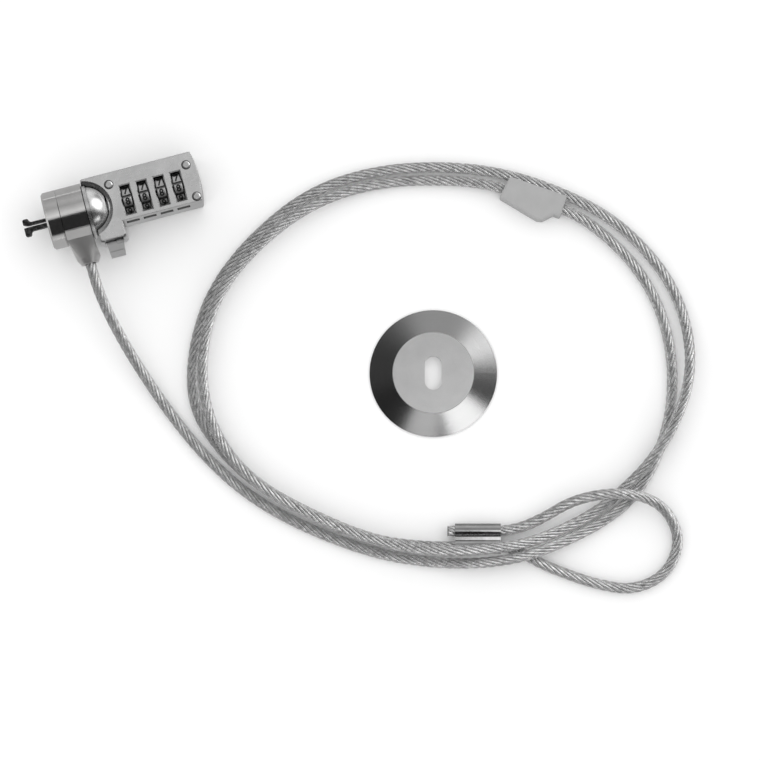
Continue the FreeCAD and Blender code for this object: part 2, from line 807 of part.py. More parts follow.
def detent_spring():
    """A leaf with one bowed finger beside each dial."""
    strip = block(
        "leaf_strip",
        ("leaf_start", "dials_end - leaf_end_gap"),
        ("leaf_near", "leaf_near + leaf_thick"),
        ("-leaf_half", "leaf_half"),
    )
    fingers = []
    for n in range(dial_count):
        middle = f"first_dial + {n} * dial_pitch"
        fingers.append(
            prism(
                f"leaf_finger_{n + 1}",
                [
                    (f"{middle} - finger_root", "leaf_near + leaf_thick / 2"),
                    (f"{middle} - finger_tip", "finger_near"),
                    (f"{middle} + finger_tip", "finger_near"),
                    (f"{middle} + finger_root", "leaf_near + leaf_thick / 2"),
                ],
                "finger_long",
            )
        )
    part("detent_spring", fuse("detent_spring_solid", strip, *fingers))


# The button, the spreader and the claws


def push_button():
    """The side button: a tab with an upturned lip, and a tongue whose slanted end drives the spreader."""
    tab = prism(
        "button_tab",
        [
            ("tab_start + tab_draft", "tab_near"),
            ("tab_end - tab_draft", "tab_near"),
            ("tab_end", "tab_inner"),
            ("tab_start", "tab_inner"),
        ],
        "2 * tab_half",
    )
    lip = block(
        "button_lip",
        ("tab_start + tab_draft", "tab_end - tab_draft"),
        ("tab_near", "tab_near + lip_thick"),
        ("-tab_half", "lip_top"),
    )
    tongue = prism(
        "button_tongue",
        [
            ("tongue_start", "tab_inner - tab_root"),
            ("tab_end", "tab_inner - tab_root"),
            ("tab_end", "tab_inner"),
            ("tongue_end", "tab_inner"),
            ("tongue_end", "tongue_end - cam_offset"),
            ("tongue_start", "tongue_start - cam_offset"),
        ],
        "2 * tongue_half",
    )
    leg = block(
        "button_leg", ("tongue_start", "tongue_end"), ("leg_near", "leg_far"), ("leg_foot", "0")
    )
    part("push_button", fuse("push_button_solid", tab, lip, tongue, leg))


def button_spring():
    spring(
        "button_spring",
        "button_spring_radius",
        "button_spring_wire",
        "button_spring_turns",
        "leg_far + button_spring_gap",
        "cam_far - button_spring_gap",
        ACROSS,
        x="(tongue_start + tongue_end) / 2",
        z="(leg_foot - cam_half) / 2",
    )


def spreader():
    """The blade that parts the claws, on a stem with a spring plate and a slanted tail."""
    blade = prism(
        "spreader_blade",
        [
            ("spreader_tip", "-tip_half"),
            ("shank_start", "-shank_half"),
            ("plate_start + plate_bite", "-shank_half"),
            ("plate_start + plate_bite", "shank_half"),
            ("shank_start", "shank_half"),
            ("spreader_tip", "tip_half"),
        ],
        "2 * blade_half",
    )
    ramp = "cam_offset - cam_gap"
    tail = prism(
        "spreader_tail",
        [
            ("plate_end - plate_bite", "-tail_half"),
            (f"{ramp} - tail_half", "-tail_half"),
            (f"{ramp} + tail_half - 1", "tail_half - 1"),
            (f"{ramp} + tail_half - 1", "tail_half"),
            ("plate_end - plate_bite", "tail_half"),
        ],
        "2 * tongue_half",
    )
    plate = rod("spreader_plate", "plate_radius", "plate_start", "plate_end")
    part("spreader", fuse("spreader_solid", blade, plate, tail))


def claw_spring():
    spring(
        "claw_spring",
        "claw_spring_radius",
        "claw_spring_wire",
        "claw_spring_turns",
        "neck_wall_end + claw_spring_gap",
        "plate_start - claw_spring_gap",
        ALONG,
    )


def claw(name, side, arm, hook, tip_gap):
    """One claw: a flat arm from its pivot boss to the hook at its tip. side is "" or "-"."""

    def at(x, y):
        return (x, f"{side}({y})")

    plate = prism(
        name + "_plate",
        [
            at("claw_tip", tip_gap),
            at("claw_tip + lead_middle", f"({tip_gap} + claw_gap) / 2"),
            at("claw_tip + lead_end", "claw_gap"),
            at("claw_step", "claw_gap"),
            at("claw_step", "claw_relief"),
            at("pin_x - 1.5", "claw_relief"),
            at("pin_x - hook_bevel", "heel_inner"),
            at("claw_heel - claw_gap", "heel_inner"),
            at("claw_heel", "heel_bevel"),
            at("claw_heel", "pin_y + boss_back"),
            at("pin_x", "pin_y + boss_outer"),
            at("pin_x - 1", "pin_y + boss_side"),
            at("claw_step", arm),
            at("claw_tip + hook_root", arm),
            at("claw_tip + hook_width + hook_fillet", f"{arm} + hook_bevel"),
            at("claw_tip + hook_width", f"{hook} - hook_bevel"),
            at("claw_tip + hook_width - hook_bevel", hook),
            at("claw_tip + hook_bevel", hook),
            at("claw_tip", f"{hook} - hook_bevel"),
        ],
        "2 * claw_half",
    )
    hole = rod(name + "_hole", "pin_hole", "-claw_half - past", "claw_half + past", UP, x="pin_x", y=f"{side}pin_y")
    part(name, cut(name + "_cut", plate, hole))


def claw_pins():
    pieces = []
    for name, sign in (("upper", ""), ("lower", "-")):
        pin = rod(f"{name}_pin", "pin_radius", "-pin_half", "pin_half", UP, x="pin_x", y=f"{sign}pin_y")
        pieces.append(pin)
    group = doc.addObject("Part::Compound", "claw_pins_group")
    group.Links = pieces
    part("claw_pins", group)


# The cable and what is on it


def arc_path(points):
    """A wire of straight runs joined by tangent arcs, with the arcs' radii."""
    edges, radii = [], []
    here = points[0]
    for before, corner, after in zip(points, points[1:], points[2:]):
        back, ahead = corner - before, after - corner
        half_turn = back.getAngle(ahead) / 2
        reach = RISE * min(back.Length, ahead.Length)
        radii.append(reach / math.tan(half_turn))
        back.normalize()
        ahead.normalize()
        start, end = corner - back * reach, corner + ahead * reach
        inward = ahead - back
        inward.normalize()
        middle = corner + inward * (radii[-1] * (1 / math.cos(half_turn) - 1))
        edges.append(Part.LineSegment(here, start).toShape())
        edges.append(Part.Arc(start, middle, end).toShape())
        here = end
    edges.append(Part.LineSegment(here, points[-1]).toShape())
    return Part.Wire(edges), radii


def security_cable():
    drop, radius = sizes["table_drop"], sizes["cable_radius"]
    points = [FreeCAD.Vector(x, y, lift - drop) for x, y, lift in cable_route]
    path, radii = arc_path(points)
    start = Part.Circle(points[0], points[1] - points[0], radius)
    tube = path.makePipeShell([Part.Wire([start.toShape()])], True, False)
    item = doc.addObject("Part::Feature", "cable_tube")
    item.Shape = tube
    item.Placement = FreeCAD.Placement()
    part("security_cable", item)
    expected = math.pi * radius**2 * path.Length
    print("cable radii:", " ".join(f"{value:.0f}" for value in radii))
    print(f"cable length {path.Length:.1f}, volume {tube.Volume:.1f} of {expected:.1f}")


def cable_stop():
    """The crimped end that keeps the cable from pulling out of the saddle."""
    barrel = rod("stop_barrel", "stop_radius", "cable_start", "stop_end - stop_bevel", ACROSS, x="cable_x")
    end = taper(
        "stop_nose",
        "stop_radius",
        "stop_radius - stop_bevel",
        "stop_end - stop_bevel",
        "stop_end",
        ACROSS,
        x="cable_x",
    )
    part("cable_stop", fuse("cable_stop_solid", barrel, end))


def crimp_ferrule():
    """Two crimped barrels side by side with a web between them, one for each leg of the eye."""
    half, side = "ferrule_long / 2", "barrel_gap / 2"
    solids = [block("ferrule_web", (f"-{half}", half), (f"-{side}", side), ("-ferrule_web", "ferrule_web"))]
    bores = []
    for name, sign in (("upper", ""), ("lower", "-")):
        y = f"{sign}{side}"
        solids.append(rod(f"barrel_{name}", "ferrule_radius", f"-{half}", half, y=y))
        bores.append(rod(f"barrel_bore_{name}", "cable_radius", f"-{half} - past", f"{half} + past", y=y))
    item = cut("ferrule_cut", fuse("ferrule_solid", *solids), *bores)
    item.Placement = turned(sizes["ferrule_turn"])
    put(item, "ferrule_x", "ferrule_y", "ferrule_lift - table_drop")
    part("crimp_ferrule", item)


def turned(angle):
    """A placement turned about +Z, before its base point is bound."""
    return FreeCAD.Placement(FreeCAD.Vector(), FreeCAD.Rotation(FreeCAD.Vector(0, 0, 1), angle))


def cable_clip():
    """A moulded clip: a bore for one turn of the cable and an open groove for the other."""
    body = prism(
        "clip_body",
        clip_corners,
        "clip_high",
        middle=False,
    )
    bore = rod("clip_hole", "clip_bore", "-far_past", "far_past", z="clip_bore_lift")
    groove = rod("clip_channel", "clip_groove", "-far_past", "far_past", y="clip_groove_y", z="clip_groove_lift")
    soft = rounded("clip_soft", body, lambda edge: edge.BoundBox.ZLength > 1, sizes["clip_round"])
    bevel = bevelled("clip_bevel", soft, level_edge(sizes["clip_high"]), sizes["clip_bevel"])
    item = cut("clip_cut", bevel, bore, groove)
    item.Placement = turned(sizes["clip_turn"])
    put(item, "clip_x", "clip_y", "clip_lift - table_drop")
    part("cable_clip", item)


def guard_disc():
    """A turned disc with a conical bevel, a flat plateau and a slot right through it."""
    body = doc.addObject("PartDesign::Body", "disc_body")
    profile = outline(
        body,
        "disc_profile",
        "XZ_Plane",
        [
            ("0", "0"),
            ("disc_radius - disc_edge", "0"),
            ("disc_radius", "disc_edge"),
            ("disc_radius", "disc_rim"),
            ("disc_plateau", "disc_thick"),
            ("0", "disc_thick"),
        ],
    )
    turning = body.newObject("PartDesign::Revolution", "disc_turning")
    turning.Profile = profile
    turning.ReferenceAxis = (profile, ["V_Axis"])
    ends = "(slot_long - slot_wide) / 2"
    through = ("-past", "disc_thick + past")
    shape = fuse(
        "disc_slot",
        block("slot_middle", ("-slot_wide / 2", "slot_wide / 2"), (f"-{ends}", ends), through),
        rod("slot_end_far", "slot_wide / 2", *through, UP, y=ends),
        rod("slot_end_near", "slot_wide / 2", *through, UP, y=f"-{ends}"),
    )
    item = cut("disc_cut", body, shape)
    item.Placement = turned(sizes["disc_turn"])
    put(item, "disc_x", "disc_y", "-table_drop")
    part("guard_disc", item)


def build():
    nose_cap()
    neck_tube()
    retaining_ring()
    swivel_collar()
    swivel_washer()
    dome_flange()
    housing()
    cover_plate()
    cover_rivets()
    for n in range(dial_count):
        dial(n)
        code_ring(n)
    dial_shaft()
    dial_washers()
    locking_bar()
    detent_spring()
    push_button()
    button_spring()
    spreader()
    claw_spring()
    claw("upper_claw", "", "upper_arm", "upper_hook", "claw_tip_gap")
    claw("lower_claw", "-", "lower_arm", "lower_hook", "claw_gap + 0.1")
    claw_pins()
    security_cable()
    cable_stop()
    crimp_ferrule()
    cable_clip()
    guard_disc()


def check():
    """Stop if any object of the document failed or any sub-part has no sound shape."""
    doc.recompute()
    for item in doc.Objects:
        if "Invalid" in item.State or "Error" in item.State:
            raise RuntimeError(f"{item.Name} ({item.Label}) failed: {item.State}")
    for item in parts:
        shape = item.Shape
        if shape.isNull() or not shape.isValid() or shape.Volume < 0.1:
            raise RuntimeError(f"{item.Label} has no sound shape")
        print(f"{item.Label}: {len(shape.Solids)} solid(s), {shape.Volume:.1f} mm3")


def export():
    os.makedirs("parts", exist_ok=True)
    for item in parts:
        item.Shape.exportStep(f"parts/{item.Label}.step")


build()
check()
export()
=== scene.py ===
import bmesh
import bpy
import math
from mathutils import Matrix, Vector


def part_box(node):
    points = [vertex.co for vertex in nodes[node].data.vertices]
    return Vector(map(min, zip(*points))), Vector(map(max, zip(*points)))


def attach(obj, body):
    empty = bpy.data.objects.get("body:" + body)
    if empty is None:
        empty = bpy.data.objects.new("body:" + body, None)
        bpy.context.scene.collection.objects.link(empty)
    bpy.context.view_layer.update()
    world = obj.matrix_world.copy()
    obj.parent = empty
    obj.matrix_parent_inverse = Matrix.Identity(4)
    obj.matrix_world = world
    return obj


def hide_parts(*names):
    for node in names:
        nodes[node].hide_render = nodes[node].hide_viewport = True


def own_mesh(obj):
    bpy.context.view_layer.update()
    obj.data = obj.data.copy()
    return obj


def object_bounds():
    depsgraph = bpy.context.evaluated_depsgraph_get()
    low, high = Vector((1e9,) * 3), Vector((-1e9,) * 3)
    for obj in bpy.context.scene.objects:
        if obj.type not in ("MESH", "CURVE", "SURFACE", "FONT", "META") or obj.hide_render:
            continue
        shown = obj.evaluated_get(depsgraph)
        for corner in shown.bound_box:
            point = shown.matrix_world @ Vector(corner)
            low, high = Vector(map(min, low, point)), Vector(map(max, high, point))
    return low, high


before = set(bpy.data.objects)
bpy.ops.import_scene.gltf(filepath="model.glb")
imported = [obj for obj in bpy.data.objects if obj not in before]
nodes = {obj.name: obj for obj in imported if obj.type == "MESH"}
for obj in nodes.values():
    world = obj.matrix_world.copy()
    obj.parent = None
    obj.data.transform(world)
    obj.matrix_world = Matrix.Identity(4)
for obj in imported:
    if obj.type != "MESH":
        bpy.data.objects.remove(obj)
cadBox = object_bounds()
scene = bpy.context.scene
mm = 0.001
tableTop = cadBox[0][2]
print("frame loaded:", len(nodes), "nodes")


# camera, nearly straight down, turned so that the lock head points up to the right
view = {
    "right": (0.967, -0.254),
    "middle": (101.4, -85.1, -6.0),
    "elevation": 84.0,
    "fieldWide": 273.6,
    "lens": 200.0,
    "sensor": 36.0,
    "clipEnd": 20.0,
}


def makeCamera(values):
    data = bpy.data.cameras.new("camera")
    data.lens = values["lens"]
    data.sensor_width = values["sensor"]
    data.clip_end = values["clipEnd"]
    camera = bpy.data.objects.new("camera", data)
    right = Vector((*values["right"], 0)).normalized()
    away = Vector((-right.y, right.x, 0))
    tilt = math.radians(values["elevation"])
    back = Vector((0, 0, math.sin(tilt))) - away * math.cos(tilt)
    top = back.cross(right)
    distance = values["fieldWide"] * mm * values["lens"] / values["sensor"]
    place = Vector(values["middle"]) * mm + back * distance
    turn = Matrix((right, top, back)).transposed().to_4x4()
    camera.matrix_world = Matrix.Translation(place) @ turn
    scene.collection.objects.link(camera)
    scene.camera = camera


makeCamera(view)
print("camera placed")


# materials: every one is built from nodes, in the piece's own coordinates


class Finish:
    # a small wrapper round one material's node tree
    def __init__(self, name, **sockets):
        self.material = bpy.data.materials.new(name)
        self.material.use_nodes = True
        self.tree = self.material.node_tree
        self.shader = self.tree.nodes["Principled BSDF"]
        self.place = self.node("ShaderNodeTexCoord").outputs["Object"]
        for key, value in sockets.items():
            self.shader.inputs[socketNames[key]].default_value = value

    def node(self, kind, **inputs):
        made = self.tree.nodes.new(kind)
        for key, value in inputs.items():
            self.set(made.inputs[key], value)
        return made

    def set(self, socket, value):
        if isinstance(value, bpy.types.NodeSocket):
            self.tree.links.new(value, socket)
        else:
            socket.default_value = value

    def math(self, operation, first, second=0.0):
        made = self.tree.nodes.new("ShaderNodeMath")
        made.operation = operation
        self.set(made.inputs[0], first)
        self.set(made.inputs[1], second)
        return made.outputs[0]

    def noise(self, scale, detail=4.0, rough=0.55, place=None):
        place = place or self.place
        made = self.node("ShaderNodeTexNoise", Vector=place, Scale=scale, Detail=detail, Roughness=rough)
        return made.outputs["Fac"]

    def ramp(self, value, low, high, start=0.3, end=0.7):
        made = self.node("ShaderNodeValToRGB", Fac=value)
        made.color_ramp.elements[0].position = start
        made.color_ramp.elements[0].color = (*low, 1)
        made.color_ramp.elements[1].position = end
        made.color_ramp.elements[1].color = (*high, 1)
        return made.outputs["Color"]

    def spread(self, value, low, high):
        return self.node("ShaderNodeMapRange", Value=value, **{"To Min": low, "To Max": high}).outputs[0]

    def mix(self, share, first, second):
        made = self.tree.nodes.new("ShaderNodeMix")
        made.data_type = "RGBA"
        self.set(made.inputs["Factor"], share)
        self.set(made.inputs["A"], first)
        self.set(made.inputs["B"], second)
        return made.outputs["Result"]

    def colour(self, value):
        self.set(self.shader.inputs["Base Color"], value)

    def rough(self, value):
        self.set(self.shader.inputs["Roughness"], value)

    def bump(self, height, depth):
        made = self.node("ShaderNodeBump", Height=height, Distance=depth, Strength=1.0)
        self.set(self.shader.inputs["Normal"], made.outputs[0])


socketNames = {
    "metal": "Metallic",
    "rough": "Roughness",
    "coat": "Coat Weight",
    "coatRough": "Coat Roughness",
    "specular": "Specular IOR Level",
}


def grey(level, warm=0.0):
    return (level * (1 + warm), level, level * (1 - warm))


# what all the plated and bare metals share
platedLook = {
    "cloudScale": 140.0,
    "cloudDetail": 5.0,
    "polishScale": 620.0,
    "polishSwing": 0.05,
    "grainDetail": 3.0,
    "grainRough": 0.7,
    # the last four set the painted shade in crevices: how far the occlusion looks, the ramp's stops, and
    # how dark the painted shade is
    "paintedShadeReach": 1.1,
    "paintedShadeFrom": 0.45,
    "paintedShadeBy": 0.95,
    "paintedShadeShare": 0.12,
}


def platedMetal(name, dark, light, rough, grain, depth, warm=0.0):
    # a fine grain in the bump, faint clouds in the colour and the polish, and painted shade that darkens
    # the colour in the crevices
    finish = Finish(name, metal=1.0)
    clouds = finish.noise(platedLook["cloudScale"], detail=platedLook["cloudDetail"])
    metal = finish.ramp(clouds, grey(dark, warm), grey(light, warm))
    # painted shade: ambient occlusion darkens the base colour in crevices and inner corners
    openness = finish.node("ShaderNodeAmbientOcclusion", Distance=platedLook["paintedShadeReach"] * mm)
    stops = (platedLook["paintedShadeFrom"], platedLook["paintedShadeBy"])
    clear = finish.ramp(openness.outputs["AO"], grey(0.0), grey(1.0), *stops)
    shade = grey(dark * platedLook["paintedShadeShare"])
    finish.colour(finish.mix(clear, (*shade, 1), metal))
    polish = finish.noise(platedLook["polishScale"])
    swing = platedLook["polishSwing"]
    finish.rough(finish.spread(polish, rough - swing, rough + swing))
    texture = finish.noise(grain, detail=platedLook["grainDetail"], rough=platedLook["grainRough"])
    finish.bump(texture, depth * mm)
    return finish.material


def paint(name, material):
    slots = nodes[name].material_slots
    if slots:
        for slot in slots:
            slot.material = material
    else:
        nodes[name].data.materials.append(material)


plating = {
    "bodyNickel": {"dark": 0.64, "light": 0.76, "rough": 0.30, "grain": 3600.0, "depth": 0.02},
    "coverNickel": {"dark": 0.66, "light": 0.78, "rough": 0.28, "grain": 3600.0, "depth": 0.02},
    "buttonNickel": {"dark": 0.52, "light": 0.60, "rough": 0.30, "grain": 3200.0, "depth": 0.03},
    "noseChrome": {
        "dark": 0.74, "light": 0.80, "rough": 0.10, "grain": 2600.0, "depth": 0.012, "warm": 0.008,
    },
    "domeChrome": {"dark": 0.72, "light": 0.80, "rough": 0.27, "grain": 2000.0, "depth": 0.01},
    "rivetSteel": {"dark": 0.62, "light": 0.72, "rough": 0.36, "grain": 3000.0, "depth": 0.02},
    "dialZinc": {"dark": 0.62, "light": 0.74, "rough": 0.32, "grain": 4200.0, "depth": 0.04},
    "innerSteel": {"dark": 0.30, "light": 0.42, "rough": 0.38, "grain": 2600.0, "depth": 0.03},
    "springSteel": {"dark": 0.28, "light": 0.36, "rough": 0.30, "grain": 3000.0, "depth": 0.02},
    "ringBrass": {
        "dark": 0.24, "light": 0.34, "rough": 0.34, "grain": 2600.0, "depth": 0.02, "warm": 0.12,
    },
    "ferruleMetal": {"dark": 0.34, "light": 0.46, "rough": 0.13, "grain": 2400.0, "depth": 0.02},
}
plated = {name: platedMetal(name, **values) for name, values in plating.items()}


collarFinish = {
    "dark": 0.70,
    "light": 0.77,
    "warm": 0.008,
    "cloudScale": 140.0,
    "rough": 0.08,
    "satinRough": 0.42,
    "satinFrom": -5.9,
    "satinBy": -6.1,
    "polishScale": 900.0,
    "polishSwing": 0.04,
    "grain": 2800.0,
    "grainDetail": 3.0,
    "depth": 0.02,
}


def satinSaddle(values):
    # a bright turned band that changes to a satin saddle where the casting begins
    finish = Finish("satinSaddle", metal=1.0)
    ends = [grey(values[level], values["warm"]) for level in ("dark", "light")]
    finish.colour(finish.ramp(finish.noise(values["cloudScale"]), *ends))
    parts = finish.node("ShaderNodeSeparateXYZ", Vector=finish.place)
    satin = finish.node(
        "ShaderNodeMapRange",
        Value=parts.outputs["Y"],
        **{
            "From Min": values["satinFrom"] * mm,
            "From Max": values["satinBy"] * mm,
            "To Min": values["rough"],
            "To Max": values["satinRough"],
        },
    ).outputs[0]
    polish = finish.math("MULTIPLY", finish.noise(values["polishScale"]), values["polishSwing"])
    finish.rough(finish.math("ADD", satin, polish))
    finish.bump(finish.noise(values["grain"], detail=values["grainDetail"]), values["depth"] * mm)
    return finish.material


clawFinish = {
    "black": 0.035,
    "bare": 0.22,
    "wearScale": 900.0,
    "wearDetail": 6.0,
    "wearRough": 0.7,
    "wearFrom": 0.45,
    "wearBy": 0.75,
    "rough": (0.34, 0.50),
    "roughScale": 1500.0,
    "grain": 3000.0,
    "depth": 0.04,
}


def blackOxide(values):
    # black oxide with bare steel showing through in rubbed spots
    finish = Finish("blackOxide", metal=1.0)
    worn = finish.noise(values["wearScale"], detail=values["wearDetail"], rough=values["wearRough"])
    ends = (grey(values["black"]), grey(values["bare"]))
    finish.colour(finish.ramp(worn, *ends, values["wearFrom"], values["wearBy"]))
    finish.rough(finish.spread(finish.noise(values["roughScale"]), *values["rough"]))
    finish.bump(finish.noise(values["grain"]), values["depth"] * mm)
    return finish.material


clipFinish = {
    "specular": 0.35,
    "levels": (0.375, 0.405),
    "cloudScale": 220.0,
    "rough": (0.50, 0.62),
    "roughScale": 1800.0,
    "grain": 3200.0,
    "grainDetail": 2.0,
    "depth": 0.06,
}
washerFinish = {
    "specular": 0.3,
    "levels": (0.012, 0.03),
    "cloudScale": 700.0,
    "rough": (0.55, 0.7),
    "roughScale": 1500.0,
    "grain": 2500.0,
    "grainDetail": 4.0,
    "depth": 0.03,
}


def moulded(name, values):
    # matt plastic with a light texture from its mould
    finish = Finish(name, specular=values["specular"])
    ends = [grey(level) for level in values["levels"]]
    finish.colour(finish.ramp(finish.noise(values["cloudScale"]), *ends))
    finish.rough(finish.spread(finish.noise(values["roughScale"]), *values["rough"]))
    finish.bump(finish.noise(values["grain"], detail=values["grainDetail"]), values["depth"] * mm)
    return finish.material


discFinish = {
    "plateau": 14.75,
    "edge": 0.35,
    "bevelGrey": (0.42, 0.52),
    "plateauGrey": (0.74, 0.80),
    "bevelRough": 0.18,
    "plateauRough": 0.46,
    "anisotropic": 0.5,
    "lineScale": 2400.0,
    "lineDetail": 6.0,
    "lineRough": 0.8,
    "lineDepth": 0.018,
    "cloudScale": 160.0,
    "blastScale": 2800.0,
    "blastDetail": 3.0,
    "blastDepth": 0.05,
}


def turnedDisc(values):
    # a turned bevel with fine rings in it, round a plateau blasted matt
    finish = Finish("turnedDisc", metal=1.0)
    low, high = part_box("guard_disc")
    middle = (low + high) / 2
    offset = finish.node("ShaderNodeVectorMath")
    offset.operation = "SUBTRACT"
    finish.set(offset.inputs[0], finish.place)
    offset.inputs[1].default_value = middle
    flat = finish.node("ShaderNodeVectorMath")
    flat.operation = "MULTIPLY"
    finish.set(flat.inputs[0], offset.outputs[0])
    flat.inputs[1].default_value = (1, 1, 0)
    length = finish.node("ShaderNodeVectorMath")
    length.operation = "LENGTH"
    finish.set(length.inputs[0], flat.outputs[0])
    radius = length.outputs["Value"]
    onBevel = finish.node(
        "ShaderNodeMapRange",
        Value=radius,
        **{"From Min": (values["plateau"] - values["edge"]) * mm, "From Max": values["plateau"] * mm},
    ).outputs[0]
    rings = finish.node("ShaderNodeCombineXYZ", X=radius).outputs[0]
    texture = {"detail": values["lineDetail"], "rough": values["lineRough"]}
    lines = finish.noise(values["lineScale"], **texture, place=rings)
    clouds = finish.noise(values["cloudScale"])
    bevelColour = finish.ramp(lines, *[grey(level) for level in values["bevelGrey"]])
    plateauColour = finish.ramp(clouds, *[grey(level) for level in values["plateauGrey"]])
    finish.colour(finish.mix(onBevel, plateauColour, bevelColour))
    step = values["bevelRough"] - values["plateauRough"]
    finish.rough(finish.math("ADD", values["plateauRough"], finish.math("MULTIPLY", onBevel, step)))
    finish.set(finish.shader.inputs["Anisotropic"], finish.math("MULTIPLY", onBevel, values["anisotropic"]))
    # the two textures' heights are in metres here, so the bump takes their sum as it is
    blast = finish.noise(values["blastScale"], detail=values["blastDetail"])
    blastShare = finish.math("MULTIPLY", finish.math("SUBTRACT", 1.0, onBevel), values["blastDepth"] * mm)
    lineShare = finish.math("MULTIPLY", onBevel, values["lineDepth"] * mm)
    blastHeight = finish.math("MULTIPLY", blast, blastShare)
    lineHeight = finish.math("MULTIPLY", lines, lineShare)
    finish.bump(finish.math("ADD", blastHeight, lineHeight), 1.0)
    tangent = finish.node("ShaderNodeTangent")
    tangent.direction_type = "RADIAL"
    tangent.axis = "Z"
    finish.set(finish.shader.inputs["Tangent"], tangent.outputs[0])
    return finish.material


wireFinish = {
    "sockets": {"metal": 0.75, "rough": 0.20, "coat": 0.4, "coatRough": 0.1},
    "wires": 8.0,
    "slant": 0.35,
    "depth": 0.08,
    "ridgePower": 0.6,
    # the gap level and its two stops paint shade into the gaps between the strands; the dark level and its
    # stop paint shade into the grooves between the wires
    "paintedGapShade": 0.05,
    "paintedGapShadeBy": 0.30,
    "facingFrom": 0.72,
    "dark": 0.27,
    "light": 0.98,
    "grooveShadeBy": 0.1,
    "lightFrom": 0.6,
    "patchScale": 500.0,
    "patchDetail": 6.0,
    "patchRough": 0.75,
    "patchSpread": (-0.25, 1.35),
}


def wireRope(values):
    # bright fine wires on the outside of each strand, with painted shade in the grooves between the wires
    # and in the gaps between the strands
    finish = Finish("wireRope", **values["sockets"])
    uv = finish.node("ShaderNodeUVMap").outputs[0]
    parts = finish.node("ShaderNodeSeparateXYZ", Vector=uv)
    turn = finish.math("MULTIPLY", parts.outputs["X"], 2 * math.pi)
    outside = finish.math("MULTIPLY", finish.math("ADD", finish.math("COSINE", turn), 1.0), 0.5)
    # painted shade: the colour darkens towards the sides of each strand, in the gaps between strands
    facing = finish.ramp(outside, grey(0.0), grey(1.0), values["paintedGapShadeBy"], values["facingFrom"])
    wound = finish.math("MULTIPLY", parts.outputs["Y"], values["slant"] * math.pi)
    wires = finish.math("ADD", finish.math("MULTIPLY", turn, values["wires"] / 2), wound)
    wave = finish.math("ABSOLUTE", finish.math("SINE", wires))
    ridge = finish.math("POWER", wave, values["ridgePower"])
    spots = finish.noise(values["patchScale"], detail=values["patchDetail"], rough=values["patchRough"])
    shade = finish.math("MULTIPLY", ridge, finish.spread(spots, *values["patchSpread"]))
    ends = (grey(values["dark"]), grey(values["light"]))
    # painted shade: the colour darkens in the grooves between the wires
    wireColourAndShade = finish.ramp(shade, *ends, values["grooveShadeBy"], values["lightFrom"])
    finish.colour(finish.mix(facing, (*grey(values["paintedGapShade"]), 1), wireColourAndShade))
    finish.bump(ridge, values["depth"] * mm)
    return finish.material


sleeveFinish = {
    "sockets": {"coat": 1.0, "coatRough": 0.05, "specular": 0.6},
    "levels": (0.72, 0.82),
    "hazeScale": 180.0,
    "hazeDetail": 3.0,
    "alpha": (0.03, 0.07),
    "rough": (0.10, 0.20),
    "roughScale": 600.0,
    "grain": 420.0,
    "grainDetail": 2.0,
    "depth": 0.06,
}


def clearSleeve(values):
    # a thin clear sleeve: mostly the strands show, with a faint haze and a gloss on top
    finish = Finish("clearSleeve", **values["sockets"])
    haze = finish.noise(values["hazeScale"], detail=values["hazeDetail"])
    finish.colour(finish.ramp(haze, *[grey(level) for level in values["levels"]]))
    finish.rough(finish.spread(finish.noise(values["roughScale"]), *values["rough"]))
    finish.set(finish.shader.inputs["Alpha"], finish.spread(haze, *values["alpha"]))
    finish.bump(finish.noise(values["grain"], detail=values["grainDetail"]), values["depth"] * mm)
    return finish.material


inkFinish = {
    "specular": 0.4,
    "levels": (0.004, 0.012),
    "cloudScale": 1500.0,
    "rough": (0.35, 0.55),
    "roughScale": 2500.0,
}


def inkBlack(values):
    # a flat black ink with no texture of its own
    finish = Finish("inkBlack", specular=values["specular"])
    ends = [grey(level) for level in values["levels"]]
    finish.colour(finish.ramp(finish.noise(values["cloudScale"]), *ends))
    finish.rough(finish.spread(finish.noise(values["roughScale"]), *values["rough"]))
    return finish.material


dialNumbers = range(1, 5)
nodeFinish = {
    "nose_cap": "noseChrome",
    "dome_flange": "domeChrome",
    "housing": "bodyNickel",
    "cover_plate": "coverNickel",
    "cover_rivets": "rivetSteel",
    "push_button": "buttonNickel",
    "crimp_ferrule": "ferruleMetal",
    "cable_stop": "ferruleMetal",
    "neck_tube": "innerSteel",
    "retaining_ring": "innerSteel",
    "dial_shaft": "innerSteel",
    "dial_washers": "innerSteel",
    "locking_bar": "innerSteel",
    "spreader": "innerSteel",
    "claw_pins": "innerSteel",
    "detent_spring": "springSteel",
    "button_spring": "springSteel",
    "claw_spring": "springSteel",
}
for n in dialNumbers:
    nodeFinish[f"dial_{n}"] = "dialZinc"
    nodeFinish[f"code_ring_{n}"] = "ringBrass"
for name, finishName in nodeFinish.items():
    paint(name, plated[finishName])
paint("swivel_collar", satinSaddle(collarFinish))
claws = blackOxide(clawFinish)
paint("upper_claw", claws)
paint("lower_claw", claws)
paint("cable_clip", moulded("mouldedGrey", clipFinish))
paint("swivel_washer", moulded("washerBlack", washerFinish))
paint("guard_disc", turnedDisc(discFinish))
print("finishes painted")


# the two return springs, as copies that ride with the lock head; their anchors are in metres


springs = {
    "clawCoil": {"node": "claw_spring", "axis": (1, 0, 0), "anchor": (0.01245, 0, 0), "keep": 0.4545},
    "buttonCoil": {"node": "button_spring", "axis": (0, 1, 0), "anchor": (0, 0.0042, 0), "keep": 0.67},
}
for name, values in springs.items():
    source = nodes[values["node"]]
    coil = bpy.data.objects.new(name, source.data.copy())
    scene.collection.objects.link(coil)
    coil.matrix_world = source.matrix_world
    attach(coil, "lock_head")
    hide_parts(values["node"])
    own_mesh(coil)
print("springs wound")


# the cable: a clear sleeve over eight strands and a core, all on one smooth line


